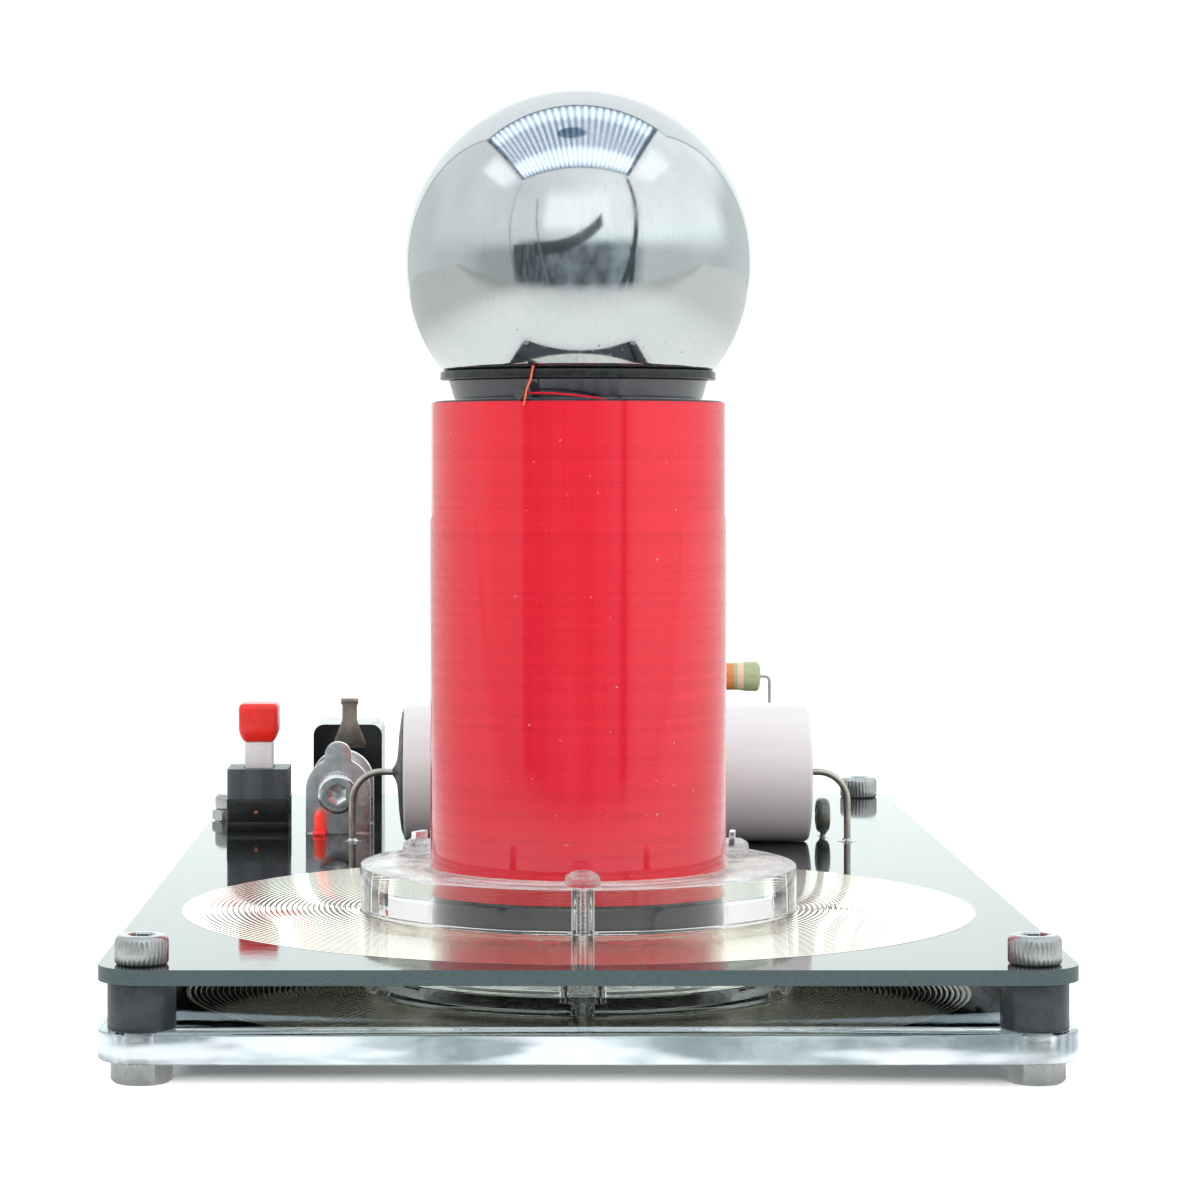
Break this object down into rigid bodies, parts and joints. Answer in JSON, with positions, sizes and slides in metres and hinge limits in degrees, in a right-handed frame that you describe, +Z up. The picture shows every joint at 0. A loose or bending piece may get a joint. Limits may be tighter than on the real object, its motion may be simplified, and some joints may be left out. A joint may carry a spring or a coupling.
{
  "type": "desktop resonant transformer",
  "caption": "Desktop resonant transformer: upright red-wound coil with a steel ball on a printed spiral primary, with push switch, spark gap and tank capacitor on a clear base.",
  "frame": {"origin": "centre of the footprint, on the surface the four foot nuts stand on", "axes": "+X to the right seen from the coil end, +Y from the coil end towards the components and the power inlet, +Z up"},
  "size_m": [0.1, 0.18, 0.1061],
  "materials": {
    "clear_acrylic": "clear cast acrylic sheet, laser cut, polished edges",
    "board_black": "glass-fibre board with gloss black solder mask, grey-green cut edges",
    "gold_track": "gold-plated copper spiral track",
    "steel_bolt": "zinc-plated or stainless steel, knurled screw heads",
    "black_spacer": "black moulded nylon",
    "clear_nylon": "clear moulded plastic screws",
    "former_black": "dark plastic tube",
    "red_winding": "close-wound red enamelled wire under clear lacquer",
    "disc_black": "black plastic sheet, cut edge",
    "ball_steel": "polished stainless steel with fine scuffs",
    "film_white": "satin white film wrap",
    "epoxy_grey": "dark grey resin",
    "lacquer_dark": "dark green-grey lacquer over a ceramic disc",
    "tinned_wire": "tinned copper and steel leads",
    "switch_black": "black moulded plastic",
    "switch_grey": "grey pressed steel cover",
    "stem_white": "white moulded plastic",
    "cap_red": "red moulded plastic",
    "spring_steel": "steel spring wire",
    "bracket_steel": "bright nickel-plated steel",
    "electrode_chrome": "bright plated steel",
    "led_red": "red tinted lens",
    "choke_green": "light green lacquer with colour rings",
    "resistor_tan": "tan lacquer with colour rings",
    "diode_black": "black moulded epoxy",
    "ferrite": "dark grey ferrite",
    "bobbin_black": "black moulded plastic",
    "tape_yellow": "yellow polyester tape over the winding",
    "tab_tin": "tinned copper tab",
    "sink_black": "black anodised aluminium",
    "can_blue": "dark blue sleeve"
  },
  "bodies": {
    "root": {"base_plate": "clear_acrylic", "base_screw_nuts": "clear_nylon", "base_screws": "clear_nylon", "circuit_board": "board_black", "coil_base_ring": "clear_acrylic", "coil_lower_ring": "clear_acrylic", "coil_top_plug": "former_black", "corner_bolts": "steel_bolt", "corner_spacers": "black_spacer", "disc_capacitor": "lacquer_dark", "disc_capacitor_leads": "tinned_wire", "discharge_ball": "ball_steel", "foot_nuts": "steel_bolt", "gap_bracket_front": "bracket_steel", "gap_bracket_rear": "bracket_steel", "gap_fixed_electrode": "electrode_chrome", "gap_lock_nut": "bracket_steel", "ground_terminal_lock_nut": "steel_bolt", "ground_terminal_nut": "steel_bolt", "ground_terminal_screw": "steel_bolt", "heat_sink": "sink_black", "heat_sink_nut": "steel_bolt", "heat_sink_screw": "steel_bolt", "hv_diode": "diode_black", "hv_diode_leads": "tinned_wire", "indicator_led": "led_red", "indicator_led_leads": "tinned_wire", "power_inlet_housing": "switch_black", "power_inlet_pin": "tinned_wire", "power_inlet_terminals": "tinned_wire", "primary_track_bottom": "gold_track", "primary_track_top": "gold_track", "resistor_leads": "tinned_wire", "resistors": "resistor_tan", "rf_choke": "choke_green", "rf_choke_leads": "tinned_wire", "secondary_former": "former_black", "secondary_ground_lead": "red_winding", "secondary_top_lead": "red_winding", "secondary_winding": "red_winding", "smoothing_capacitor": "can_blue", "smoothing_capacitor_leads": "tinned_wire", "switch_frame": "switch_grey", "switch_housing": "switch_black", "switch_pins": "tinned_wire", "switch_spring": "spring_steel", "tank_capacitor_body": "film_white", "tank_capacitor_ends": "epoxy_grey", "tank_capacitor_leads": "tinned_wire", "top_disc": "disc_black", "transformer_bobbin": "bobbin_black", "transformer_core": "ferrite", "transformer_pins": "tinned_wire", "transformer_winding": "tape_yellow", "transistor_case": "diode_black", "transistor_legs": "tinned_wire", "transistor_tab": "tab_tin"},
    "switch_button": {"switch_plunger": "stem_white", "switch_cap": "cap_red"},
    "gap_screw": {"gap_adjust_electrode": "electrode_chrome"}
  },
  "joints": [
    {"name": "switch_press", "type": "slide", "parent": "root", "child": "switch_button", "axis": [0, 0, -1], "range_m": [0, 0.002], "stiffness_N_per_m": 600, "springref_m": -0.001, "deforming": ["switch_spring"]},
    {"name": "spark_gap_adjust", "type": "slide", "parent": "root", "child": "gap_screw", "axis": [0, -1, 0], "range_m": [-0.001, 0.0015]}
  ]
}
